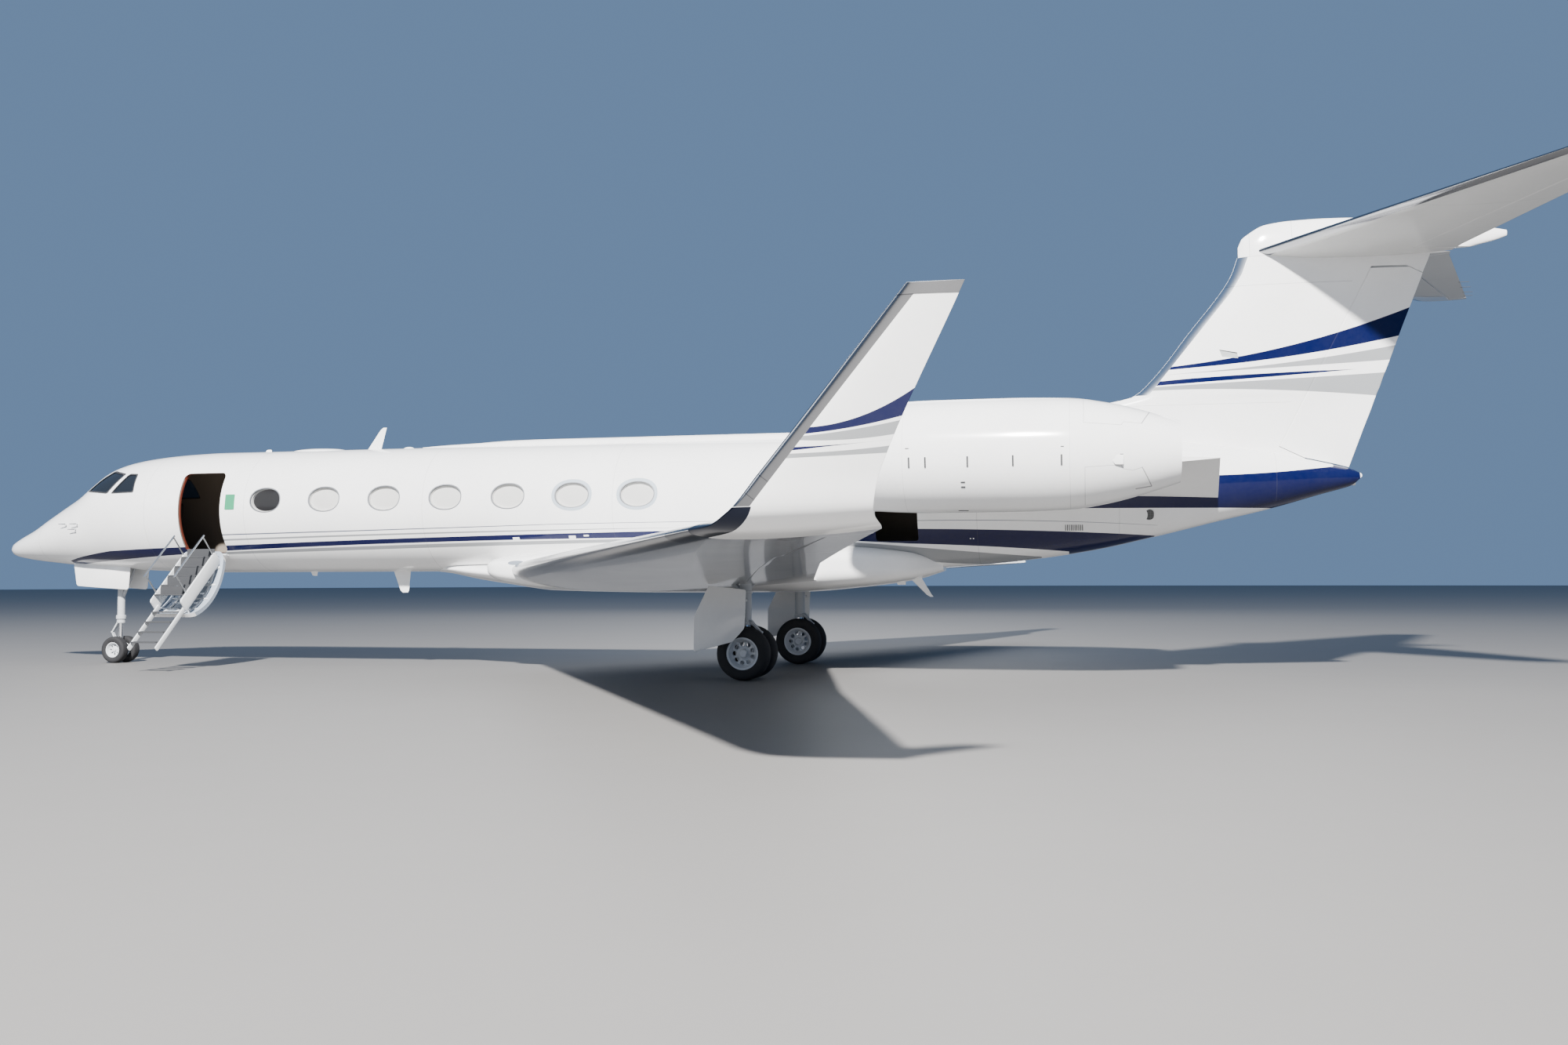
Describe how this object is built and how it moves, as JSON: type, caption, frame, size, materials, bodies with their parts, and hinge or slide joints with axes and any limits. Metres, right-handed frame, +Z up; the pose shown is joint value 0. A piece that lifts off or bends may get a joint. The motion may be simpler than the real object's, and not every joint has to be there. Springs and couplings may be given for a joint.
{
  "type": "business jet",
  "caption": "Twin-engined business jet with a T-tail and winglets, parked on its gear with its airstair and baggage door open.",
  "frame": {"origin": "on the ground under the middle of the overall length, on the centreline", "axes": "+X forward to the nose, +Y to port, +Z up"},
  "size_m": [29.3895, 28.5068, 7.87],
  "materials": {
    "paint": "gloss white",
    "blue_paint": "gloss royal blue",
    "stair": "white and grey, satin",
    "gear_paint": "grey gloss",
    "wheel": "black rubber, painted hubs",
    "dark_trim": "matt dark grey",
    "cockpit_glass": "tinted",
    "window_pane": "tinted",
    "seat_leather": "cream",
    "engine_metal": "grey",
    "fan_metal": "titanium grey"
  },
  "bodies": {
    "airframe": {"nose_radome": "paint", "cockpit_shell": "paint", "forward_keel": "paint", "cabin_shell": "paint", "cabin_keel": "paint", "aft_fuselage": "paint", "tail_cone": "blue_paint", "body_fairing": "paint", "baggage_door": "paint", "instrument_panel": "dark_trim", "nose_leg": "gear_paint", "nose_well_door_left": "paint", "nose_well_door_right": "paint", "fin": "paint", "fin_cap": "paint", "dorsal_fairing": "paint", "windscreen_left": "cockpit_glass", "windscreen_right": "cockpit_glass", "cockpit_window_front_left": "cockpit_glass", "cockpit_window_front_right": "cockpit_glass", "cockpit_window_rear_left": "cockpit_glass", "cockpit_window_rear_right": "cockpit_glass", "cabin_window_strip_left": "window_pane", "cabin_window_strip_right": "window_pane", "pilot_seat_left": "seat_leather", "pilot_seat_right": "seat_leather", "wing_left": "paint", "wing_right": "paint", "winglet_left": "paint", "winglet_right": "paint", "engine_cowl_left": "paint", "engine_cowl_right": "paint", "engine_core_left": "engine_metal", "engine_core_right": "engine_metal", "pylon_left": "paint", "pylon_right": "paint", "stabilizer_left": "paint", "stabilizer_right": "paint", "main_leg_left": "gear_paint", "main_leg_right": "gear_paint", "leg_plate_left": "paint", "leg_plate_right": "paint"},
    "airstair": {"airstair_door": "stair"},
    "stair_foot": {"stair_foot": "stair"},
    "nose_fork": {"nose_fork": "gear_paint"},
    "nose_wheels": {"nose_wheels": "wheel"},
    "rudder": {"rudder": "paint"},
    "main_wheels_left": {"main_wheels_left": "wheel"},
    "main_wheels_right": {"main_wheels_right": "wheel"},
    "engine_fan_left": {"engine_fan_left": "fan_metal"},
    "engine_fan_right": {"engine_fan_right": "fan_metal"},
    "aileron_left": {"aileron_left": "paint"},
    "aileron_right": {"aileron_right": "paint"},
    "flap_left": {"flap_left": "paint"},
    "flap_right": {"flap_right": "paint"},
    "elevator_left": {"elevator_left": "paint"},
    "elevator_right": {"elevator_right": "paint"}
  },
  "joints": [
    {"name": "main_wheels_left_spin", "type": "hinge", "parent": "airframe", "child": "main_wheels_left", "pos_m": [-1.645, 2.185, 0.4445], "axis": [0, 1, 0], "continuous": true},
    {"name": "engine_fan_left_spin", "type": "hinge", "parent": "airframe", "child": "engine_fan_left", "pos_m": [-4.255, 2.35, 3.62], "axis": [1, 0, 0], "continuous": true},
    {"name": "main_wheels_right_spin", "type": "hinge", "parent": "airframe", "child": "main_wheels_right", "pos_m": [-1.645, -2.185, 0.4445], "axis": [0, 1, 0], "continuous": true},
    {"name": "engine_fan_right_spin", "type": "hinge", "parent": "airframe", "child": "engine_fan_right", "pos_m": [-4.255, -2.35, 3.62], "axis": [1, 0, 0], "continuous": true},
    {"name": "nose_gear_steering", "type": "hinge", "parent": "airframe", "child": "nose_fork", "pos_m": [12.075, 0, 0.7], "axis": [0, 0, 1], "range_deg": [-65, 65]},
    {"name": "nose_wheels_spin", "type": "hinge", "parent": "nose_fork", "child": "nose_wheels", "pos_m": [12.075, 0, 0.2665], "axis": [0, 1, 0], "continuous": true},
    {"name": "airstair_swing", "type": "hinge", "parent": "airframe", "child": "airstair", "pos_m": [9.46, 0.905, 2.165], "axis": [1, 0, 0], "range_deg": [0, 137]},
    {"name": "stair_foot_slide", "type": "slide", "parent": "airstair", "child": "stair_foot", "axis": [0, -0.7314, 0.682], "range_m": [0, 1.08]},
    {"name": "rudder_swing", "type": "hinge", "parent": "airframe", "child": "rudder", "pos_m": [-10.38, 0, 3.87], "axis": [-0.4506, 0, 0.8927], "range_deg": [-22, 22]},
    {"name": "elevator_left_swing", "type": "hinge", "parent": "airframe", "child": "elevator_left", "pos_m": [-12.442, 0.47, 7.12], "axis": [-0.377, 0.9258, 0.0277], "range_deg": [-14, 24]},
    {"name": "elevator_right_swing", "type": "hinge", "parent": "airframe", "child": "elevator_right", "pos_m": [-12.442, -0.47, 7.12], "axis": [0.377, 0.9258, -0.0277], "range_deg": [-14, 24]},
    {"name": "aileron_left_swing", "type": "hinge", "parent": "airframe", "child": "aileron_left", "pos_m": [-3.93102, 9.7, 1.99233], "axis": [-0.3261, 0.945, 0.0244], "range_deg": [-15, 15]},
    {"name": "aileron_right_swing", "type": "hinge", "parent": "airframe", "child": "aileron_right", "pos_m": [-3.93102, -9.7, 1.99233], "axis": [0.3261, 0.945, -0.0244], "range_deg": [-15, 15]},
    {"name": "flap_left_swing", "type": "hinge", "parent": "airframe", "child": "flap_left", "pos_m": [-1.75164, 2.6, 1.73519], "axis": [-0.286, 0.9576, 0.0349], "range_deg": [-39, 0]},
    {"name": "flap_right_swing", "type": "hinge", "parent": "airframe", "child": "flap_right", "pos_m": [-1.75164, -2.6, 1.73519], "axis": [0.286, 0.9576, -0.0349], "range_deg": [-39, 0]}
  ],
  "couplings": [
    {"joint": "stair_foot_slide", "follows": "airstair_swing", "m_per_rad": 0.45167},
    {"joint": "elevator_right_swing", "follows": "elevator_left_swing", "ratio": 1},
    {"joint": "aileron_right_swing", "follows": "aileron_left_swing", "ratio": -1},
    {"joint": "flap_right_swing", "follows": "flap_left_swing", "ratio": 1}
  ]
}
